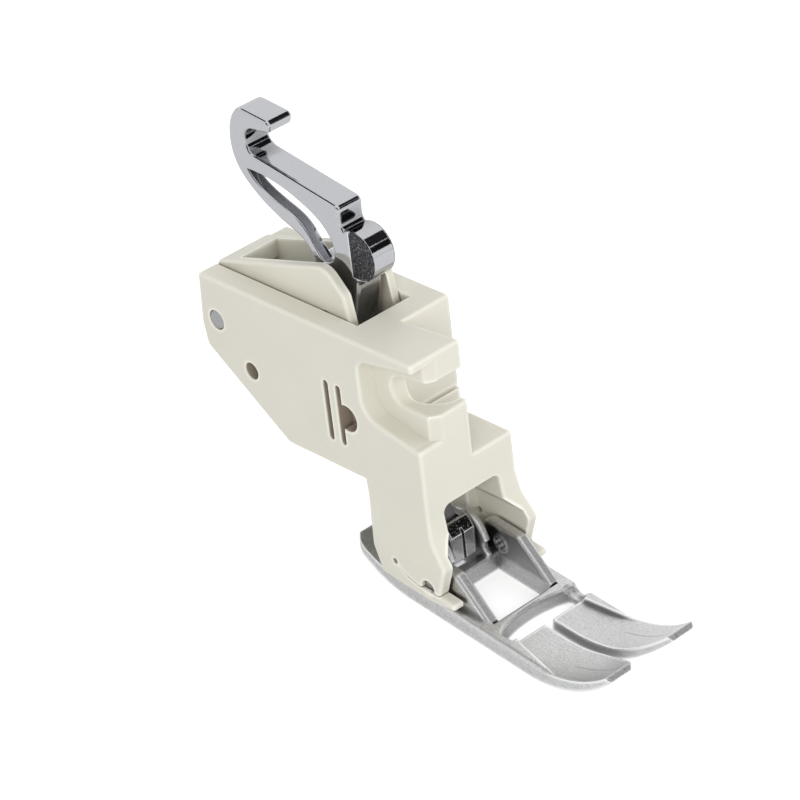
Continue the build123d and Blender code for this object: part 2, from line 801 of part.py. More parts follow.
# Sole: a die-cast plate with two curled toes, rails, ears and guards.
toe_radius = ((toe_front - flat_front) ** 2 + toe_front_up**2) / (2 * toe_front_up)
heel_radius = ((heel_rear - flat_rear) ** 2 + heel_up**2) / (2 * heel_up)
toe_share = toe_tip_thickness / toe_radius
heel_share = heel_thickness / heel_radius
toe_top = (
    toe_front + (flat_front - toe_front) * toe_share,
    toe_front_up + (toe_radius - toe_front_up) * toe_share,
)
heel_top = (
    heel_rear + (flat_rear - heel_rear) * heel_share,
    heel_up + (heel_radius - heel_up) * heel_share,
)
rail_inner = sole_half_width - rail_width
rail_plan = [
    (sole_half_width, rail_fade_end),
    (rail_inner, needle_slot_front),
    (rail_inner, rail_rear),
    (sole_half_width, rail_rear),
]
toe_corners = [(-sole_half_width, toe_front), (sole_half_width, toe_front)]
heel_corners = [(-sole_half_width, heel_rear), (sole_half_width, heel_rear)]
rail_root = plate_thickness * rail_root_share
ear_crown = [(ear_rear, ear_top_up), (ear_top_front, ear_top_up)]
ear_side = [
    (ear_rear, rail_root),
    *ear_crown,
    (ear_foot_front, rail_height),
    (ear_foot_front, rail_root),
]
guard_inner = shoe_half_width + feed_window_side_clearance
needle_slot_ends = [
    (-needle_slot_half_width, needle_slot_side_rear),
    (needle_slot_half_width, needle_slot_side_rear),
]
gap_half = toe_gap / 2

with BuildPart() as sole_plate:
    with BuildSketch(sole_side):
        with BuildLine():
            Line((flat_rear, 0), (flat_front, 0))
            TangentArc((flat_front, 0), (toe_front, toe_front_up), tangent=(-1, 0))
            Line((toe_front, toe_front_up), toe_top)
            TangentArc((flat_front, plate_thickness), toe_top, tangent=(-1, 0))
            Line((flat_front, plate_thickness), (flat_rear, plate_thickness))
            TangentArc((flat_rear, plate_thickness), heel_top, tangent=(1, 0))
            Line(heel_top, (heel_rear, heel_up))
            TangentArc((flat_rear, 0), (heel_rear, heel_up), tangent=(1, 0))
        make_face()
    extrude(amount=sole_half_width, both=True)
    with BuildSketch(sole_deck.offset(rail_root)):
        Polygon(*rail_plan)
        mirror(about=Plane.YZ)
    extrude(amount=rail_height - rail_root)
    with BuildSketch(sole_deck.offset(rail_root)):
        with Locations((0, crossbar_rear)):
            Rectangle(2 * rail_inner, crossbar_rear - needle_slot_front, align=(Align.CENTER, Align.MAX))
    extrude(amount=rail_height - rail_root)
    with BuildSketch(sole_deck.offset(rail_root)):
        with Locations((0, rear_bar_front)):
            Rectangle(2 * ear_inner, rear_bar_rear - rear_bar_front, align=(Align.CENTER, Align.MIN))
    extrude(amount=rear_bar_height - rail_root)
    with BuildSketch(sole_side.offset(ear_inner), sole_side.offset(-ear_inner - ear_thickness)):
        Polygon(*ear_side)
        soften(ear_crown, ear_round)
    extrude(amount=ear_thickness)
    with BuildSketch(sole_side.offset(guard_inner), sole_side.offset(-guard_inner - guard_thickness)):
        with BuildLine():
            ThreePointArc((rear_bar_front, rail_root), (guard_front_rear, guard_front_up), guard_crest)
            ThreePointArc(guard_crest, guard_back, (guard_rear, rail_root))
            Line((guard_rear, rail_root), (rear_bar_front, rail_root))
        make_face()
    extrude(amount=guard_thickness)
    with BuildSketch(sole_deck):
        Polygon(*toe_corners, *reversed(heel_corners))
        soften(toe_corners, toe_round)
        soften(heel_corners, heel_round)
    extrude(amount=beyond, mode=Mode.INTERSECT)
    outer_edges = edges().filter_by(lambda edge: abs(edge.center().X) > sole_half_width - seat_gap)
    fillet(outer_edges.filter_by(lambda edge: abs(edge.center().Z - rail_height) < seat_gap), rail_round)
    ear_edges = edges().filter_by(GeomType.LINE)
    ear_edges = ear_edges.filter_by(lambda edge: abs((edge @ 0 - edge @ 1).X) < seat_gap)
    ear_edges = ear_edges.filter_by(lambda edge: abs(edge.center().X) > ear_inner - seat_gap)
    fillet(ear_edges.filter_by(lambda edge: edge.center().Z > rear_bar_height + seat_gap), ear_bevel)
    with BuildSketch(sole_deck):
        with BuildLine():
            ThreePointArc(needle_slot_ends[0], (0, needle_slot_arch_rear), needle_slot_ends[1])
            Polyline(
                needle_slot_ends[1],
                (needle_slot_half_width, needle_slot_front),
                (gap_half, needle_slot_front),
                (gap_half, toe_spread_start),
            )
            TangentArc((gap_half, toe_spread_start), (toe_spread, toe_front), tangent=(0, -1))
            Line((toe_spread, toe_front), (-toe_spread, toe_front))
            TangentArc((-gap_half, toe_spread_start), (-toe_spread, toe_front), tangent=(0, -1))
            Polyline(
                (-gap_half, toe_spread_start),
                (-gap_half, needle_slot_front),
                (-needle_slot_half_width, needle_slot_front),
                needle_slot_ends[0],
            )
        make_face()
        soften(needle_slot_ends, needle_slot_round)
        with Locations((0, rear_bar_front)):
            Rectangle(2 * ear_inner, rear_bar_front - crossbar_rear, align=(Align.CENTER, Align.MAX))
        with Locations((0, rear_bar_rear)):
            Rectangle(2 * guard_inner, feed_window_rear - rear_bar_rear, align=(Align.CENTER, Align.MIN))
    extrude(amount=beyond, mode=Mode.SUBTRACT)
    with BuildSketch(sole_side):
        with Locations((0, hinge_height)):
            Circle(hinge_pin_radius)
    extrude(amount=beyond, both=True, mode=Mode.SUBTRACT)
    with Locations(sole_deck.from_local_coords((thread_bowl_across, thread_bowl_rear, rail_height))):
        Sphere(thread_bowl_radius, mode=Mode.SUBTRACT)
    rim = edges().filter_by(lambda edge: abs(sole_place(edge).Z - rail_height) < layer_tolerance)
    rim = rim.filter_by(lambda edge: sole_place(edge).Y > needle_slot_front + seat_gap)
    fillet(rim.filter_by(lambda edge: sole_place(edge).Y < crossbar_rear - seat_gap), crossbar_front_round)
    rim = edges().filter_by(lambda edge: abs(sole_place(edge).Z - rail_height) < layer_tolerance)
    rim = rim.filter_by(lambda edge: abs(sole_place(edge).Y - crossbar_rear) < layer_tolerance)
    fillet(rim, crossbar_rear_round)
    guard_edges = edges().filter_by(lambda edge: abs((edge @ 0 - edge @ 1).X) < layer_tolerance)
    guard_edges = guard_edges.filter_by(lambda edge: sole_place(edge).Z > rear_bar_height + seat_gap)
    fillet(guard_edges.filter_by(lambda edge: abs(edge.center().X) < ear_inner - seat_gap), guard_round)
    rim = edges().filter_by(lambda edge: abs(sole_place(edge).Z - rear_bar_height) < layer_tolerance)
    rim = rim.filter_by(lambda edge: abs(sole_place(edge).Y - rear_bar_front) < layer_tolerance)
    fillet(rim, rear_bar_round)

sole_plate.part.label = "sole_plate"
export_step(sole_plate.part, "parts/sole_plate.step")

# Hinge pins, staked into the ears of the sole.
hinge_pin_length = hinge_pin_end - ear_inner + seat_gap
stake_left = (Align.CENTER, Align.CENTER, Align.MAX)
stake_right = (Align.CENTER, Align.CENTER, Align.MIN)
with BuildPart() as hinge_pin_left:
    with BuildSketch(sole_side.offset(-hinge_pin_end)):
        with Locations((0, hinge_height)):
            Circle(hinge_pin_radius)
    extrude(amount=hinge_pin_length)
    chamfer(edges().filter_by(GeomType.CIRCLE), pin_chamfer)
    with Locations(sole_side.offset(hinge_pin_length - hinge_pin_end)):
        with Locations((0, hinge_height)):
            with PolarLocations(stake_circle, stake_count):
                Cone(0, stake_radius, stake_depth, align=stake_left, mode=Mode.SUBTRACT)

hinge_pin_left.part.label = "hinge_pin_left"
export_step(hinge_pin_left.part, "parts/hinge_pin_left.step")

with BuildPart() as hinge_pin_right:
    with BuildSketch(sole_side.offset(hinge_pin_end - hinge_pin_length)):
        with Locations((0, hinge_height)):
            Circle(hinge_pin_radius)
    extrude(amount=hinge_pin_length)
    chamfer(edges().filter_by(GeomType.CIRCLE), pin_chamfer)
    with Locations(sole_side.offset(hinge_pin_end - hinge_pin_length)):
        with Locations((0, hinge_height)):
            with PolarLocations(stake_circle, stake_count):
                Cone(stake_radius, 0, stake_depth, align=stake_right, mode=Mode.SUBTRACT)

hinge_pin_right.part.label = "hinge_pin_right"
export_step(hinge_pin_right.part, "parts/hinge_pin_right.step")
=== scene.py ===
from math import cos, radians, sin

import bmesh
import bpy
from mathutils import Matrix, Vector

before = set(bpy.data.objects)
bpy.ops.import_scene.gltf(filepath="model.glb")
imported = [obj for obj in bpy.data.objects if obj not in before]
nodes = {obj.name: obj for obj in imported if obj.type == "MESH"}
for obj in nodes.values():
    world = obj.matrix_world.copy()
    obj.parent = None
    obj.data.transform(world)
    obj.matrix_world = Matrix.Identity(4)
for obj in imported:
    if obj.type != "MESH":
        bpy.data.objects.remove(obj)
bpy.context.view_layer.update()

MM = 0.001

# Camera at the photograph's angle, from the foot's front left and above. The lens and the sensor
# are in millimetres, the place and the clip distances in metres.
CAMERA_PLACE = Vector((-264.6, -275.62, 307.7)) * MM
CAMERA_RIGHT = Vector((0.7213, -0.6923, -0.0188))
CAMERA_UP = Vector((0.4201, 0.4157, 0.8067))
CAMERA_LENS = 161.96
CAMERA_SENSOR = 36.0
CAMERA_NEAR = 0.01
CAMERA_FAR = 10.0

# Studio, in metres: a white surround, a pale floor, soft lamps and dark cards. The metal mirrors
# the surround, the floor and the cards, but not the lamps.
SURROUND_COLOUR = (1.0, 1.0, 1.0, 1.0)
SURROUND_STRENGTH = 1.0
GLOW_COLOUR = (0.97, 0.985, 1.0, 1.0)
GLOW_STRENGTH = 0.56
FLOOR_COLOUR = (0.86, 0.86, 0.86, 1.0)
FLOOR_HALF = 3.0
FLOOR_LIFT_SEEN = 0.5
FLOOR_LIFT_MIRRORED = 0.15
LAMP_AIM = Vector((0.0, 0.0, 0.02))
CARD_HALF = 0.5

# Each lamp's name, place, width and height, watts and tint.
LAMPS = (
    ("key", (-0.5, -0.5, 0.42), (0.5, 0.5), 2.95, (1.0, 0.99, 0.97)),
    ("fill", (0.55, -0.45, 0.4), (0.6, 0.6), 1.85, (0.98, 0.99, 1.0)),
    ("rear", (0.1, 0.5, 0.6), (0.6, 0.4), 1.1, (1.0, 1.0, 1.0)),
)

# Each card's name, place, width and height, and grey tone.
CARDS = (
    ("dark_card_left", (-0.8, -0.05, 0.5), (0.5, 0.45), 0.015),
    ("dark_card_camera", (-0.6, -0.6, 0.5), (0.6, 0.45), 0.015),
    ("dark_card_front", (0.45, -0.7, 0.46), (0.6, 0.34), 0.015),
    ("dark_card_right", (0.6, -0.3, 0.79), (0.5, 0.56), 0.03),
    ("dark_card_rear", (-0.33, 0.57, 0.68), (0.62, 0.34), 0.01),
)


def set_camera():
    camera = bpy.data.objects.new("camera", bpy.data.cameras.new("camera"))
    camera.data.lens = CAMERA_LENS
    camera.data.sensor_width = CAMERA_SENSOR
    camera.data.clip_start = CAMERA_NEAR
    camera.data.clip_end = CAMERA_FAR
    right = CAMERA_RIGHT.normalized()
    back = right.cross(CAMERA_UP).normalized()
    up = back.cross(right)
    turn = Matrix((right, up, back)).transposed().to_4x4()
    camera.matrix_world = Matrix.Translation(CAMERA_PLACE) @ turn
    bpy.context.scene.collection.objects.link(camera)
    bpy.context.scene.camera = camera


def set_world():
    """White where the camera or a reflection looks, and a softer glow as light on the foot."""
    world = bpy.data.worlds.new("studio")
    bpy.context.scene.world = world
    world.use_nodes = True
    tree = world.node_tree
    tree.nodes.clear()
    output = tree.nodes.new("ShaderNodeOutputWorld")
    surround = tree.nodes.new("ShaderNodeBackground")
    surround.inputs["Color"].default_value = SURROUND_COLOUR
    surround.inputs["Strength"].default_value = SURROUND_STRENGTH
    glow = tree.nodes.new("ShaderNodeBackground")
    glow.inputs["Color"].default_value = GLOW_COLOUR
    glow.inputs["Strength"].default_value = GLOW_STRENGTH
    path = tree.nodes.new("ShaderNodeLightPath")
    looked_at = tree.nodes.new("ShaderNodeMath")
    looked_at.operation = "MAXIMUM"
    tree.links.new(path.outputs["Is Camera Ray"], looked_at.inputs[0])
    tree.links.new(path.outputs["Is Glossy Ray"], looked_at.inputs[1])
    choice = tree.nodes.new("ShaderNodeMixShader")
    tree.links.new(looked_at.outputs[0], choice.inputs[0])
    tree.links.new(glow.outputs[0], choice.inputs[1])
    tree.links.new(surround.outputs[0], choice.inputs[2])
    tree.links.new(choice.outputs[0], output.inputs["Surface"])


def add_lamp(name, place, size, watts, tint):
    data = bpy.data.lights.new(name, "AREA")
    data.shape = "RECTANGLE"
    data.size, data.size_y = size
    data.energy = watts
    data.color = tint
    lamp = bpy.data.objects.new(name, data)
    lamp.location = place
    lamp.visible_glossy = False
    lamp.rotation_euler = (LAMP_AIM - Vector(place)).to_track_quat("-Z", "Y").to_euler()
    bpy.context.scene.collection.objects.link(lamp)


def empty_material(name):
    material = bpy.data.materials.new(name)
    material.use_nodes = True
    material.node_tree.nodes.clear()
    return material, material.node_tree


def mesh_piece(name, shape):
    mesh = bpy.data.meshes.new(name)
    shape.to_mesh(mesh)
    shape.free()
    piece = bpy.data.objects.new(name, mesh)
    bpy.context.scene.collection.objects.link(piece)
    return piece


def floor_finish():
    """Pale board that keeps shadows, lifted where it is seen and a little in reflections."""
    material, tree = empty_material("pale_floor")
    output = tree.nodes.new("ShaderNodeOutputMaterial")
    board = tree.nodes.new("ShaderNodeBsdfDiffuse")
    board.inputs["Color"].default_value = FLOOR_COLOUR
    lift = tree.nodes.new("ShaderNodeEmission")
    path = tree.nodes.new("ShaderNodeLightPath")
    mirrored = tree.nodes.new("ShaderNodeMath")
    mirrored.operation = "MULTIPLY"
    mirrored.inputs[1].default_value = FLOOR_LIFT_MIRRORED
    tree.links.new(path.outputs["Is Glossy Ray"], mirrored.inputs[0])
    level = tree.nodes.new("ShaderNodeMath")
    level.operation = "MULTIPLY_ADD"
    level.inputs[1].default_value = FLOOR_LIFT_SEEN
    tree.links.new(path.outputs["Is Camera Ray"], level.inputs[0])
    tree.links.new(mirrored.outputs[0], level.inputs[2])
    tree.links.new(level.outputs[0], lift.inputs["Strength"])
    both = tree.nodes.new("ShaderNodeAddShader")
    tree.links.new(board.outputs[0], both.inputs[0])
    tree.links.new(lift.outputs[0], both.inputs[1])
    tree.links.new(both.outputs[0], output.inputs["Surface"])
    return material


def add_floor():
    shape = bmesh.new()
    bmesh.ops.create_grid(shape, x_segments=1, y_segments=1, size=FLOOR_HALF)
    floor = mesh_piece("floor", shape)
    floor.data.materials.append(floor_finish())


def add_card(name, place, size, tone):
    """Felt card that faces the foot and shows in reflections alone, scaled from one metre square."""
    shape = bmesh.new()
    bmesh.ops.create_grid(shape, x_segments=1, y_segments=1, size=CARD_HALF)
    bmesh.ops.scale(shape, vec=(*size, 1.0), verts=shape.verts)
    turn = (-Vector(place)).to_track_quat("-Z", "Y").to_matrix()
    bmesh.ops.rotate(shape, cent=(0, 0, 0), matrix=turn, verts=shape.verts)
    bmesh.ops.translate(shape, vec=place, verts=shape.verts)
    card = mesh_piece(name, shape)
    material, tree = empty_material(name)
    output = tree.nodes.new("ShaderNodeOutputMaterial")
    felt = tree.nodes.new("ShaderNodeBsdfDiffuse")
    felt.inputs["Color"].default_value = (tone, tone, tone, 1.0)
    tree.links.new(felt.outputs[0], output.inputs["Surface"])
    card.data.materials.append(material)
    card.visible_camera = False
    card.visible_diffuse = False
    card.visible_shadow = False


# Finishes. Lengths are in millimetres and noise scales in waves per millimetre. A name that ends in
# TONE is a factor on the piece's tone, and one that ends in HEIGHT is a factor on the bump's depth.
NOISE_LOW = 0.3
NOISE_HIGH = 0.7
BRIGHTEST = 0.97
BEVEL_RAYS = 6
CORNER_RAYS = 8

# Cosine between the rounded normal and the surface's own, on a flat and on a full edge.
FLAT_MATCH = 0.995
EDGE_MATCH = 0.82


class Finish:
    """One procedural material on the piece's own Object coordinates, in millimetres."""

    def __init__(self, name):
        self.material, self.tree = empty_material(name)
        output = self.add("OutputMaterial")
        self.shader = self.add("BsdfPrincipled")
        self.link(self.shader.outputs[0], output.inputs["Surface"])
        metres = self.add("TexCoord")
        scaled = self.add("Mapping")
        scaled.inputs["Scale"].default_value = (1 / MM, 1 / MM, 1 / MM)
        self.link(metres.outputs["Object"], scaled.inputs["Vector"])
        self.place = scaled.outputs[0]

    def add(self, kind):
        return self.tree.nodes.new("ShaderNode" + kind)

    def link(self, source, target):
        self.tree.links.new(source, target)

    def set(self, **values):
        """Set or link the shader's sockets, whose spaces are written as underscores."""
        for name, value in values.items():
            socket = self.shader.inputs[name.replace("_", " ")]
            if isinstance(value, bpy.types.NodeSocket):
                self.link(value, socket)
            else:
                socket.default_value = value

    def noise(self, scale, detail=2.0, stretch=(1.0, 1.0, 1.0), roughness=0.5):
        grid = self.add("Mapping")
        grid.inputs["Scale"].default_value = stretch
        self.link(self.place, grid.inputs["Vector"])
        node = self.add("TexNoise")
        node.inputs["Scale"].default_value = scale
        node.inputs["Detail"].default_value = detail
        node.inputs["Roughness"].default_value = roughness
        self.link(grid.outputs[0], node.inputs["Vector"])
        return node.outputs["Fac"]

    def span(self, value, low, high, start=0.0, end=1.0):
        """Value that goes from start to end while the given one goes from low to high."""
        node = self.add("MapRange")
        node.inputs["From Min"].default_value = low
        node.inputs["From Max"].default_value = high
        node.inputs["To Min"].default_value = start
        node.inputs["To Max"].default_value = end
        self.link(value, node.inputs["Value"])
        return node.outputs["Result"]

    def blend(self, share, first, second):
        """Colour from the first at a share of 0 to the second at a share of 1."""
        node = self.add("Mix")
        node.data_type = "RGBA"
        self.link(share, node.inputs[0])
        for socket, colour in ((node.inputs[6], first), (node.inputs[7], second)):
            if isinstance(colour, tuple):
                socket.default_value = (*colour, 1.0)
            else:
                self.link(colour, socket)
        return node.outputs[2]

    def maths(self, kind, *values):
        node = self.add("Math")
        node.operation = kind
        for socket, value in zip(node.inputs, values):
            if isinstance(value, float):
                socket.default_value = value
            else:
                self.link(value, socket)
        return node.outputs[0]

    def plus(self, first, second):
        return self.maths("ADD", first, second)

    def minus(self, first, second):
        return self.maths("SUBTRACT", first, second)

    def times(self, first, second):
        return self.maths("MULTIPLY", first, second)

    def larger(self, first, second):
        return self.maths("MAXIMUM", first, second)

    def size(self, value):
        return self.maths("ABSOLUTE", value)

    def along(self, direction):
        """Distance from the origin along one direction of the foot."""
        node = self.add("VectorMath")
        node.operation = "DOT_PRODUCT"
        self.link(self.place, node.inputs[0])
        node.inputs[1].default_value = direction
        return node.outputs["Value"]

    def within(self, value, middle, half, fade):
        """Share of 1 where a value lies within half of the middle, down to 0 a fade further off."""
        off = self.size(self.minus(value, middle))
        return self.span(off, low=half + fade, high=half)

    def rounded(self, radius):
        """Normal of the surface with its edges rounded."""
        node = self.add("Bevel")
        node.samples = BEVEL_RAYS
        node.inputs["Radius"].default_value = radius * MM
        return node.outputs[0]

    def edge_share(self, rounded):
        """Share from 0 on a flat to 1 on an edge, read from the rounded normal."""
        surface = self.add("NewGeometry")
        match = self.add("VectorMath")
        match.operation = "DOT_PRODUCT"
        self.link(rounded, match.inputs[0])
        self.link(surface.outputs["Normal"], match.inputs[1])
        return self.span(match.outputs["Value"], low=FLAT_MATCH, high=EDGE_MATCH)

    def clearance(self, reach, inside=False, alone=False):
        """Share of the rays that meet nothing within reach, sent outwards or into the piece.

        With alone set, only the piece itself stops a ray.
        """
        node = self.add("AmbientOcclusion")
        node.samples = CORNER_RAYS
        node.inside = inside
        node.only_local = alone
        node.inputs["Distance"].default_value = reach * MM
        return node.outputs["AO"]

    def rim(self, reach, clear, full, most=1.0):
        """Share that rises to most along outer edges, where the rays into the piece soon end."""
        return self.span(self.clearance(reach, inside=True), low=clear, high=full, end=most)

    def shade(self, reach, clear, full, most, alone=False):
        """Share that rises to most in corners, of the piece alone or with its neighbours."""
        return self.span(self.clearance(reach, alone=alone), low=clear, high=full, end=most)

    def bump(self, height, depth, normal):
        node = self.add("Bump")
        node.inputs["Strength"].default_value = 1.0
        node.inputs["Distance"].default_value = depth * MM
        self.link(height, node.inputs["Height"])
        self.link(normal, node.inputs["Normal"])
        self.link(node.outputs[0], self.shader.inputs["Normal"])


def toned(tone, factor, most=1.0):
    return tuple(min(channel * factor, most) for channel in tone)


# Directions on the foot. The holder and the link lean back, and their places along the lean are
# counted from the hinge.
LEAN = radians(7.0)
HINGE_Y = -6.32
HINGE_Z = 4.6
HINGE_REAR = HINGE_Y * cos(LEAN) - HINGE_Z * sin(LEAN)
HINGE_UP = HINGE_Y * sin(LEAN) + HINGE_Z * cos(LEAN)
ACROSS = (1.0, 0.0, 0.0)
UPRIGHT = (0.0, 0.0, 1.0)
LEAN_REAR = (0.0, cos(LEAN), -sin(LEAN))
LEAN_UP = (0.0, sin(LEAN), cos(LEAN))

# Left wall of the holder: its outer face, and where the painted shade and dust start, are full and
# end, all across.
WALL_FACE = -8.2
SHADE_AND_DUST_START = WALL_FACE + 0.02
SHADE_AND_DUST_FULL = WALL_FACE + 0.3
SHADE_AND_DUST_END = -5.5
SHADE_AND_DUST_SHARE = 0.85
SUNK_FADE = 0.1

# The slots, as one area, and the spare bore in that wall: middle to the rear, middle up, half
# length and half height.
SUNK_AREAS = (
    (14.3, 21.45, 3.3, 4.95),
    (32.2, 21.9, 1.5, 1.5),
)


def sunk_shade_and_dust(finish):
    """Share of painted shade and dust inside the slots and the bore of the left wall."""
    across = finish.along(ACROSS)
    rear = finish.along(LEAN_REAR)
    up = finish.along(LEAN_UP)
    inside = finish.times(
        finish.span(across, low=SHADE_AND_DUST_START, high=SHADE_AND_DUST_FULL, end=SHADE_AND_DUST_SHARE),
        finish.span(across, low=SHADE_AND_DUST_END, high=SHADE_AND_DUST_END - SUNK_FADE),
    )
    areas = []
    for middle_rear, middle_up, half_rear, half_up in SUNK_AREAS:
        beside = finish.within(rear, middle_rear + HINGE_REAR, half_rear, SUNK_FADE)
        level = finish.within(up, middle_up + HINGE_UP, half_up, SUNK_FADE)
        areas.append(finish.times(beside, level))
    return finish.times(inside, finish.larger(*areas))


# Front boss of the link: the corner of its step along the lean, and where its sides start.
STEP_REAR = 15.5 + HINGE_REAR
STEP_UP = 39.4 + HINGE_UP
STEP_FADE = 0.1
BOSS_SIDE_START = 1.7
BOSS_SIDE_FULL = 1.85


def boss_side(finish):
    """Share of 1 on the stepped sides of the link's front boss, which keep their cast skin."""
    off_middle = finish.size(finish.along(ACROSS))
    rear = finish.along(LEAN_REAR)
    up = finish.along(LEAN_UP)
    beside = finish.span(off_middle, low=BOSS_SIDE_START, high=BOSS_SIDE_FULL)
    before_step = finish.span(rear, low=STEP_REAR, high=STEP_REAR - STEP_FADE)
    above_step = finish.span(up, low=STEP_UP, high=STEP_UP + STEP_FADE)
    return finish.times(finish.times(beside, before_step), above_step)


# Ears of the sole: the place of their inner faces, and the top of the rails that they stand on.
EAR_INNER = 4.8
EAR_BAND = 0.06
RAIL_TOP = 2.55
EAR_FADE = 0.5
EAR_SHADE_SHARE = 0.8


def ear_inner_shade(finish):
    """Share of painted shade on the inner faces of the ears, above the rails."""
    off_middle = finish.size(finish.along(ACROSS))
    face = finish.within(off_middle, EAR_INNER, half=EAR_BAND, fade=EAR_BAND)
    up = finish.along(UPRIGHT)
    above_rail = finish.span(up, low=RAIL_TOP, high=RAIL_TOP + EAR_FADE, end=EAR_SHADE_SHARE)
    return finish.times(face, above_rail)


# Moulded ivory.
FLOW_SCALE = 0.09
FLOW_TONE = 0.965
IVORY_GRAIN_SCALE = 5.5
IVORY_GRAIN_DEPTH = 0.024
IVORY_EDGE = 0.15


def ivory_moulding(name, tone, rim_highlight, painted_shade_colour, reach, clear, sunk=None):
    """Moulded plastic: faint flow clouds, fine grain, a painted highlight on the rims and painted
    warm shade in the corners.
    """
    finish = Finish(name)
    flow = finish.span(finish.noise(FLOW_SCALE, detail=3.0), low=NOISE_LOW, high=NOISE_HIGH)
    body = finish.blend(flow, tone, toned(tone, FLOW_TONE))
    # Painted highlight: the rims are painted paler.
    body = finish.blend(finish.rim(reach=0.6, clear=0.96, full=0.62), body, rim_highlight)
    if sunk is not None:
        # Painted shade with dust in the sunk areas.
        body = finish.blend(sunk(finish), body, painted_shade_colour)
    # Painted shade: corners and slots are painted darker, by ambient occlusion.
    body = finish.blend(finish.shade(reach, clear, full=0.22, most=0.9), body, painted_shade_colour)
    grain = finish.noise(IVORY_GRAIN_SCALE, detail=3.0, roughness=0.6)
    rough = finish.span(grain, low=NOISE_LOW, high=NOISE_HIGH, start=0.36, end=0.5)
    finish.set(Base_Color=body, Roughness=rough, Specular_IOR_Level=0.4)
    finish.bump(grain, IVORY_GRAIN_DEPTH, finish.rounded(IVORY_EDGE))
    return finish.material


# Chromed castings.
WAVE_SCALE = 0.55
PIT_SCALE = 7.0
PIT_TONE = 0.9
PIT_HEIGHT = 0.04
# Painted shade in the hollows and a painted highlight on the rims, as factors on the tone.
CHROME_SHADE_TONE = 0.22
CHROME_HIGHLIGHT_TONE = 1.65
CHROME_DEPTH = 0.04
CHROME_EDGE = 0.12

# Pock marks in the plating.
POCK_SCALE = 4.6
POCK_TONE = 0.3
POCK_ROUGH = 0.3
POCK_HEIGHT = 0.5

# Pebbled cast skin without plating.
SKIN_SCALE = 3.2
SKIN_DARK = (0.035, 0.035, 0.04)
SKIN_PALE = (0.26, 0.26, 0.27)
SKIN_ROUGH = 0.25
SKIN_HEIGHT = 2.5


def chrome_plating(name, tone, ripple, pocked=False, raw=None):
    """Polished plating with slow waves and fine pits, painted shade in the hollows, a painted
    highlight on the rims, and where given pock marks or a raw patch.
    """
    finish = Finish(name)
    wave = finish.noise(WAVE_SCALE)
    pits = finish.noise(PIT_SCALE)
    colour = finish.blend(finish.span(pits, low=0.35, high=0.75), tone, toned(tone, PIT_TONE))
    # Painted shade in the piece's hollows.
    shade = finish.shade(reach=4.5, clear=0.95, full=0.5, most=0.85, alone=True)
    colour = finish.blend(shade, colour, toned(tone, CHROME_SHADE_TONE))
    # Painted highlight along the rims.
    rim = finish.rim(reach=0.4, clear=0.88, full=0.6, most=0.8)
    colour = finish.blend(rim, colour, toned(tone, CHROME_HIGHLIGHT_TONE, BRIGHTEST))
    rough = finish.span(pits, low=0.35, high=0.7, start=0.04, end=0.1)
    height = finish.plus(finish.times(wave, ripple), finish.times(pits, PIT_HEIGHT))
    if pocked:
        pocks = finish.span(finish.noise(POCK_SCALE, detail=1.0), low=0.66, high=0.73)
        colour = finish.blend(pocks, colour, toned(tone, POCK_TONE))
        rough = finish.plus(rough, finish.times(pocks, POCK_ROUGH))
        height = finish.minus(height, finish.times(pocks, POCK_HEIGHT))
    if raw is not None:
        patch = raw(finish)
        pebble = finish.noise(SKIN_SCALE)
        skin = finish.blend(finish.span(pebble, low=0.5, high=0.74), SKIN_DARK, SKIN_PALE)
        colour = finish.blend(patch, colour, skin)
        rough = finish.plus(rough, finish.times(patch, SKIN_ROUGH))
        height = finish.plus(height, finish.times(finish.times(pebble, patch), SKIN_HEIGHT))
    finish.set(Base_Color=colour, Metallic=1.0, Roughness=rough)
    finish.bump(height, CHROME_DEPTH, finish.rounded(CHROME_EDGE))
    return finish.material


# Die-cast sole. The brushed lines and the nicks are longest from front to rear.
SOLE_GRAIN_SCALE = 3.4
SOLE_GRAIN_SHARE = 0.6
BRUSH_SCALE = 1.0
BRUSH_STRETCH = (9.0, 0.35, 9.0)
BRUSH_SHARE = 0.4
SPECK_SCALE = 11.0
SPECK_HEIGHT = 0.5
NICK_SCALE = 1.1
NICK_STRETCH = (1.0, 0.6, 1.6)
# Nicks lighter with wear and a painted highlight on the rims: their shares, tone and polish.
NICK_WEAR = 0.7
RIM_HIGHLIGHT = 0.95
WEAR_AND_HIGHLIGHT_TONE = 1.35
WORN_POLISH = 0.1
# Painted shade in the sole's hollows and on the inner faces of the ears, as factors on the tone.
SOLE_SHADE_TONE = 0.26
EAR_SHADE_TONE = 0.38
SOLE_DEPTH = 0.036
SOLE_EDGE = 0.2


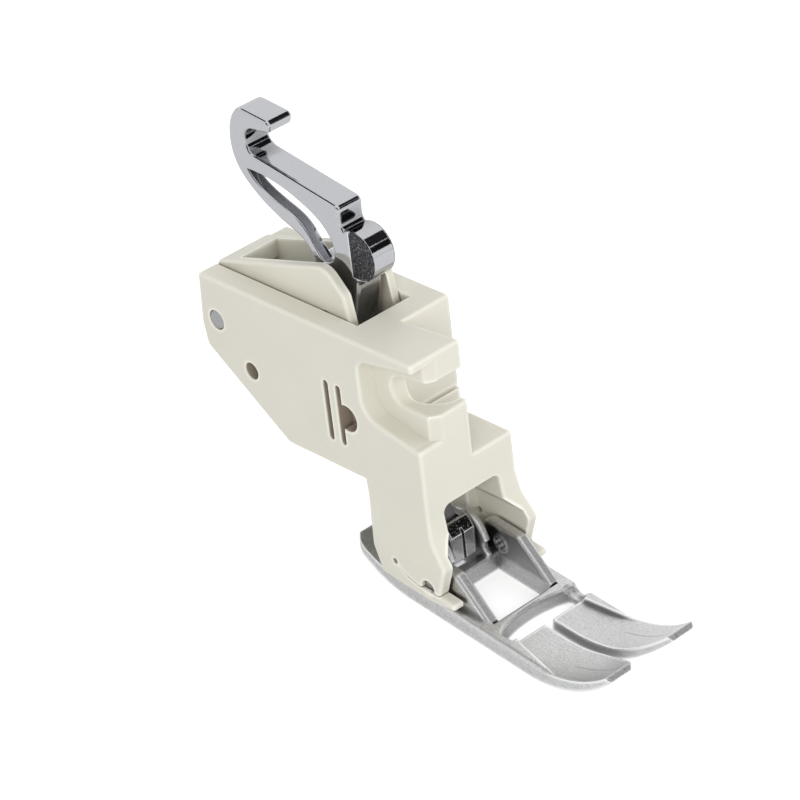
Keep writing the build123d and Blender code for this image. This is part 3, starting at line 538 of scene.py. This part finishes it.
def tumbled_casting(name, tone, dull):
    """Tumbled die casting: grain, brushed lines along the toes, painted shade in the hollows and on
    the ears' inner faces, a painted highlight on the rims, and lighter worn nicks.
    """
    finish = Finish(name)
    grain = finish.noise(SOLE_GRAIN_SCALE, detail=4.0, roughness=0.65)
    brush = finish.noise(BRUSH_SCALE, detail=3.0, stretch=BRUSH_STRETCH)
    mixed = finish.plus(finish.times(grain, SOLE_GRAIN_SHARE), finish.times(brush, BRUSH_SHARE))
    body = finish.blend(finish.span(mixed, low=0.35, high=0.65), dull, tone)
    # Painted shade in the sole's hollows.
    shade = finish.shade(reach=8.0, clear=0.8, full=0.44, most=0.88, alone=True)
    body = finish.blend(shade, body, toned(tone, SOLE_SHADE_TONE))
    # Painted shade on the inner faces of the ears.
    body = finish.blend(ear_inner_shade(finish), body, toned(tone, EAR_SHADE_TONE))
    rim = finish.rim(reach=0.5, clear=0.93, full=0.66)
    knocks = finish.noise(NICK_SCALE, detail=3.0, stretch=NICK_STRETCH, roughness=0.7)
    nicks = finish.span(knocks, low=0.69, high=0.73)
    # Painted highlight on the rims, with lighter worn nicks.
    lightened = finish.larger(finish.times(rim, RIM_HIGHLIGHT), finish.times(nicks, NICK_WEAR))
    body = finish.blend(lightened, body, toned(tone, WEAR_AND_HIGHLIGHT_TONE, BRIGHTEST))
    rough = finish.span(mixed, low=NOISE_LOW, high=NOISE_HIGH, start=0.38, end=0.25)
    rough = finish.minus(rough, finish.times(lightened, WORN_POLISH))
    finish.set(Base_Color=body, Metallic=1.0, Roughness=rough)
    speck = finish.noise(SPECK_SCALE, detail=1.0)
    height = finish.plus(mixed, finish.times(speck, SPECK_HEIGHT))
    finish.bump(height, SOLE_DEPTH, finish.rounded(SOLE_EDGE))
    return finish.material


# Steel of the arm, the pins, the washers and the spring.
LINE_SCALE = 2.0
LINE_TONE = 0.8
LINE_ROUGHER = 0.08
LINE_SMOOTHER = 0.05
LINE_DEPTH = 0.01
STEEL_EDGE = 0.1
# Edges are painted lighter, by this share and tone.
EDGE_LIFT = 0.5
EDGE_TONE = 1.4
EDGE_BRIGHTEST = 0.9


def dull_steel(name, tone, stretch, roughness):
    """Plain steel with drawn lines and brighter edges."""
    finish = Finish(name)
    rounded = finish.rounded(STEEL_EDGE)
    lines = finish.noise(LINE_SCALE, detail=4.0, stretch=stretch)
    drawn = finish.span(lines, low=NOISE_LOW, high=NOISE_HIGH)
    body = finish.blend(drawn, toned(tone, LINE_TONE), tone)
    # Edges painted lighter.
    lightened = finish.times(finish.edge_share(rounded), EDGE_LIFT)
    body = finish.blend(lightened, body, toned(tone, EDGE_TONE, EDGE_BRIGHTEST))
    rough = finish.span(
        lines,
        low=NOISE_LOW,
        high=NOISE_HIGH,
        start=roughness + LINE_ROUGHER,
        end=roughness - LINE_SMOOTHER,
    )
    finish.set(Base_Color=body, Metallic=1.0, Roughness=rough)
    finish.bump(lines, LINE_DEPTH, rounded)
    return finish.material


def dress(name, material):
    node = nodes[name]
    node.data.materials.clear()
    node.data.materials.append(material)


set_camera()
set_world()
add_floor()
for lamp in LAMPS:
    add_lamp(*lamp)
for card in CARDS:
    add_card(*card)

holder_ivory = ivory_moulding(
    "holder_ivory",
    tone=(0.76, 0.735, 0.645),
    rim_highlight=(0.93, 0.91, 0.82),
    painted_shade_colour=(0.26, 0.2, 0.15),
    reach=1.4,
    clear=0.44,
    sunk=sunk_shade_and_dust,
)
lever_ivory = ivory_moulding(
    "lever_ivory",
    tone=(0.775, 0.752, 0.65),
    rim_highlight=(0.92, 0.9, 0.8),
    painted_shade_colour=(0.42, 0.37, 0.3),
    reach=5.0,
    clear=0.78,
)
link_plate = chrome_plating("link_plate", tone=(0.56, 0.565, 0.59), ripple=0.35, raw=boss_side)
shoe_plate = chrome_plating("shoe_plate", tone=(0.6, 0.6, 0.61), ripple=0.6, pocked=True)
sole_casting = tumbled_casting("sole_casting", tone=(0.78, 0.78, 0.785), dull=(0.5, 0.5, 0.5))
arm_strip = dull_steel("arm_strip", (0.2, 0.2, 0.205), stretch=(6.0, 0.5, 0.5), roughness=0.34)
pin_steel = dull_steel("pin_ends", (0.44, 0.44, 0.45), stretch=(1.0, 2.0, 2.0), roughness=0.3)
spring_wire = dull_steel("spring_wire", (0.45, 0.45, 0.46), stretch=(4.0, 1.0, 1.0), roughness=0.3)

PIECE_FINISHES = {
    "holder_body": holder_ivory,
    "feed_lever": lever_ivory,
    "hook_link": link_plate,
    "feed_shoe": shoe_plate,
    "sole_plate": sole_casting,
    "feed_arm": arm_strip,
    "lever_pivot_pin": pin_steel,
    "link_pivot_pin": pin_steel,
    "arm_rivet": pin_steel,
    "shoe_pin": pin_steel,
    "hinge_pin_left": pin_steel,
    "hinge_pin_right": pin_steel,
    "link_washer_left": pin_steel,
    "link_washer_right": pin_steel,
    "lever_spring": spring_wire,
}
for name, material in PIECE_FINISHES.items():
    dress(name, material)

bpy.context.scene.view_settings.view_transform = "Standard"
